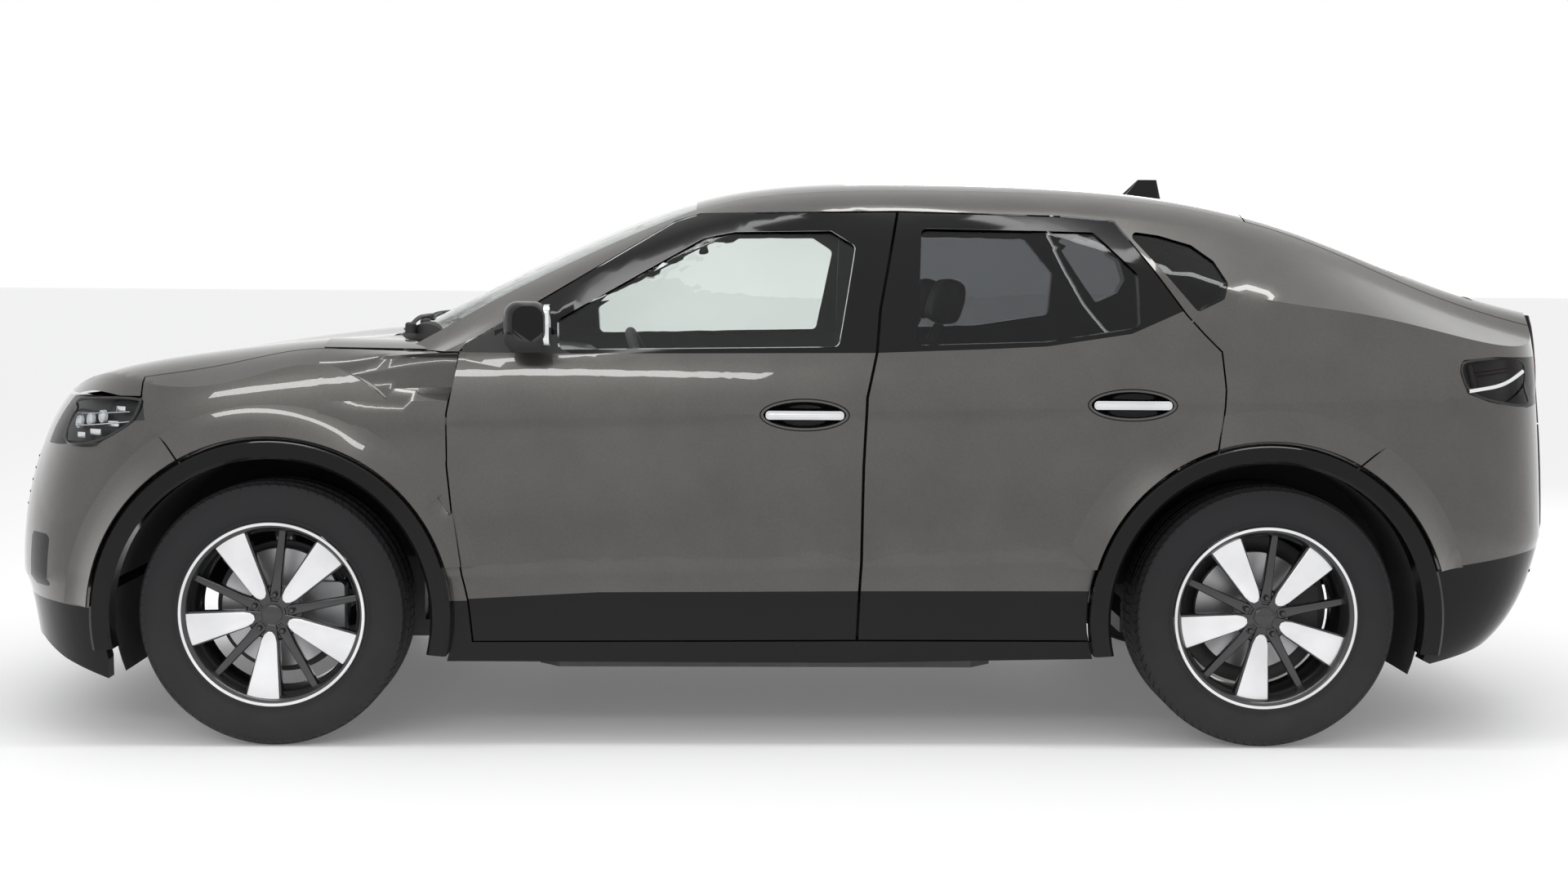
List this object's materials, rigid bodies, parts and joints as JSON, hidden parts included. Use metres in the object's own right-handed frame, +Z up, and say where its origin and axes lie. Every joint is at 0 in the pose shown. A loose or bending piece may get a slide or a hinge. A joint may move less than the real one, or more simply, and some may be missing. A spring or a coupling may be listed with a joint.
{
  "type": "coupe sport utility vehicle",
  "caption": "Electric coupe sport utility vehicle with opening doors, bonnet and tailgate, steered front wheels and free rolling wheels.",
  "frame": {"origin": "on the ground at the middle of the length and of the width", "axes": "+X towards the tail, +Y towards the right side, +Z up; the nose points along -X"},
  "size_m": [4.6325, 2.058, 1.626],
  "materials": {
    "body_paint": "gloss metallic",
    "black_trim": "gloss",
    "matte_black": "matte",
    "side_glass": "clear",
    "privacy_glass": "tinted",
    "lamp_lens": "clear",
    "tail_lens": "tinted",
    "underbody": "satin",
    "battery_case": "satin",
    "interior_plastic": "grained",
    "seat_cover": "woven",
    "chassis_steel": "satin",
    "cast_case": "cast",
    "tyre": "matte",
    "rim_alloy": "machined"
  },
  "bodies": {
    "body": {"body_side_left": "body_paint", "front_fender_left": "body_paint", "arch_trims_left": "black_trim", "body_side_right": "body_paint", "front_fender_right": "body_paint", "arch_trims_right": "black_trim", "quarter_glass": "privacy_glass", "roof_panel": "body_paint", "windscreen": "side_glass", "cowl_panel": "matte_black", "front_bumper": "body_paint", "grille_panels": "black_trim", "front_bumper_low": "black_trim", "headlamps": "lamp_lens", "tail_lamps": "tail_lens", "rear_bumper": "body_paint", "rear_bumper_low": "black_trim", "wheel_liners": "matte_black", "floor_pan": "underbody", "sills": "body_paint", "battery_pack": "battery_case", "centre_pillars": "matte_black", "bay_cover": "matte_black", "dashboard": "interior_plastic", "front_seats": "seat_cover", "seat_frames": "interior_plastic", "rear_bench": "seat_cover", "front_subframe": "chassis_steel", "front_crash_beam": "chassis_steel", "rear_subframe": "chassis_steel", "drive_motor": "cast_case", "roof_fin": "black_trim"},
    "front_door_left": {"front_door_panel_left": "body_paint", "front_door_trim_left": "black_trim", "front_door_glass_left": "side_glass"},
    "front_door_right": {"front_door_panel_right": "body_paint", "front_door_trim_right": "black_trim", "front_door_glass_right": "side_glass"},
    "rear_door_left": {"rear_door_panel_left": "body_paint", "rear_door_trim_left": "black_trim", "rear_door_glass_left": "privacy_glass"},
    "rear_door_right": {"rear_door_panel_right": "body_paint", "rear_door_trim_right": "black_trim", "rear_door_glass_right": "privacy_glass"},
    "bonnet": {"bonnet": "body_paint"},
    "tailgate": {"tailgate": "body_paint", "tailgate_glass": "privacy_glass", "tail_light_bar": "tail_lens"},
    "steering_wheel": {"steering_wheel": "interior_plastic"},
    "knuckle_left": {"knuckle_left": "chassis_steel"},
    "knuckle_right": {"knuckle_right": "chassis_steel"},
    "wheel_front_left": {"tyre_front_left": "tyre", "rim_front_left": "rim_alloy"},
    "wheel_front_right": {"tyre_front_right": "tyre", "rim_front_right": "rim_alloy"},
    "wheel_rear_left": {"tyre_rear_left": "tyre", "rim_rear_left": "rim_alloy"},
    "wheel_rear_right": {"tyre_rear_right": "tyre", "rim_rear_right": "rim_alloy"}
  },
  "joints": [
    {"name": "front_door_left_hinge", "type": "hinge", "parent": "body", "child": "front_door_left", "pos_m": [-0.905, -0.925, 0.6], "axis": [0, -0.0523, -0.9986], "range_deg": [0, 68]},
    {"name": "rear_door_left_hinge", "type": "hinge", "parent": "body", "child": "rear_door_left", "pos_m": [0.265, -0.925, 0.6], "axis": [0, -0.0523, -0.9986], "range_deg": [0, 68]},
    {"name": "front_door_right_hinge", "type": "hinge", "parent": "body", "child": "front_door_right", "pos_m": [-0.905, 0.925, 0.6], "axis": [0, -0.0523, 0.9986], "range_deg": [0, 68]},
    {"name": "rear_door_right_hinge", "type": "hinge", "parent": "body", "child": "rear_door_right", "pos_m": [0.265, 0.925, 0.6], "axis": [0, -0.0523, 0.9986], "range_deg": [0, 68]},
    {"name": "bonnet_hinge", "type": "hinge", "parent": "body", "child": "bonnet", "pos_m": [-1.002, 0, 1.102], "axis": [0, 1, 0], "range_deg": [0, 48]},
    {"name": "tailgate_hinge", "type": "hinge", "parent": "body", "child": "tailgate", "pos_m": [1.3295, 0, 1.51], "axis": [0, -1, 0], "range_deg": [0, 72]},
    {"name": "steering_left", "type": "hinge", "parent": "body", "child": "knuckle_left", "pos_m": [-1.432, -0.724, 0.3705], "axis": [0, 0, 1], "range_deg": [-35, 35]},
    {"name": "steering_right", "type": "hinge", "parent": "body", "child": "knuckle_right", "pos_m": [-1.432, 0.724, 0.3705], "axis": [0, 0, 1], "range_deg": [-35, 35]},
    {"name": "steering_wheel_turn", "type": "hinge", "parent": "body", "child": "steering_wheel", "pos_m": [-0.402, -0.37, 0.99], "axis": [0.9135, 0, 0.4067], "range_deg": [-500, 500]},
    {"name": "wheel_front_left_spin", "type": "hinge", "parent": "knuckle_left", "child": "wheel_front_left", "pos_m": [-1.432, -0.794, 0.3705], "axis": [0, 1, 0], "continuous": true},
    {"name": "wheel_front_right_spin", "type": "hinge", "parent": "knuckle_right", "child": "wheel_front_right", "pos_m": [-1.432, 0.794, 0.3705], "axis": [0, 1, 0], "continuous": true},
    {"name": "wheel_rear_left_spin", "type": "hinge", "parent": "body", "child": "wheel_rear_left", "pos_m": [1.335, -0.783, 0.3688], "axis": [0, 1, 0], "continuous": true},
    {"name": "wheel_rear_right_spin", "type": "hinge", "parent": "body", "child": "wheel_rear_right", "pos_m": [1.335, 0.783, 0.3688], "axis": [0, 1, 0], "continuous": true}
  ],
  "couplings": [
    {"joint": "steering_right", "follows": "steering_left", "ratio": 1},
    {"joint": "steering_wheel_turn", "follows": "steering_left", "ratio": 14}
  ]
}
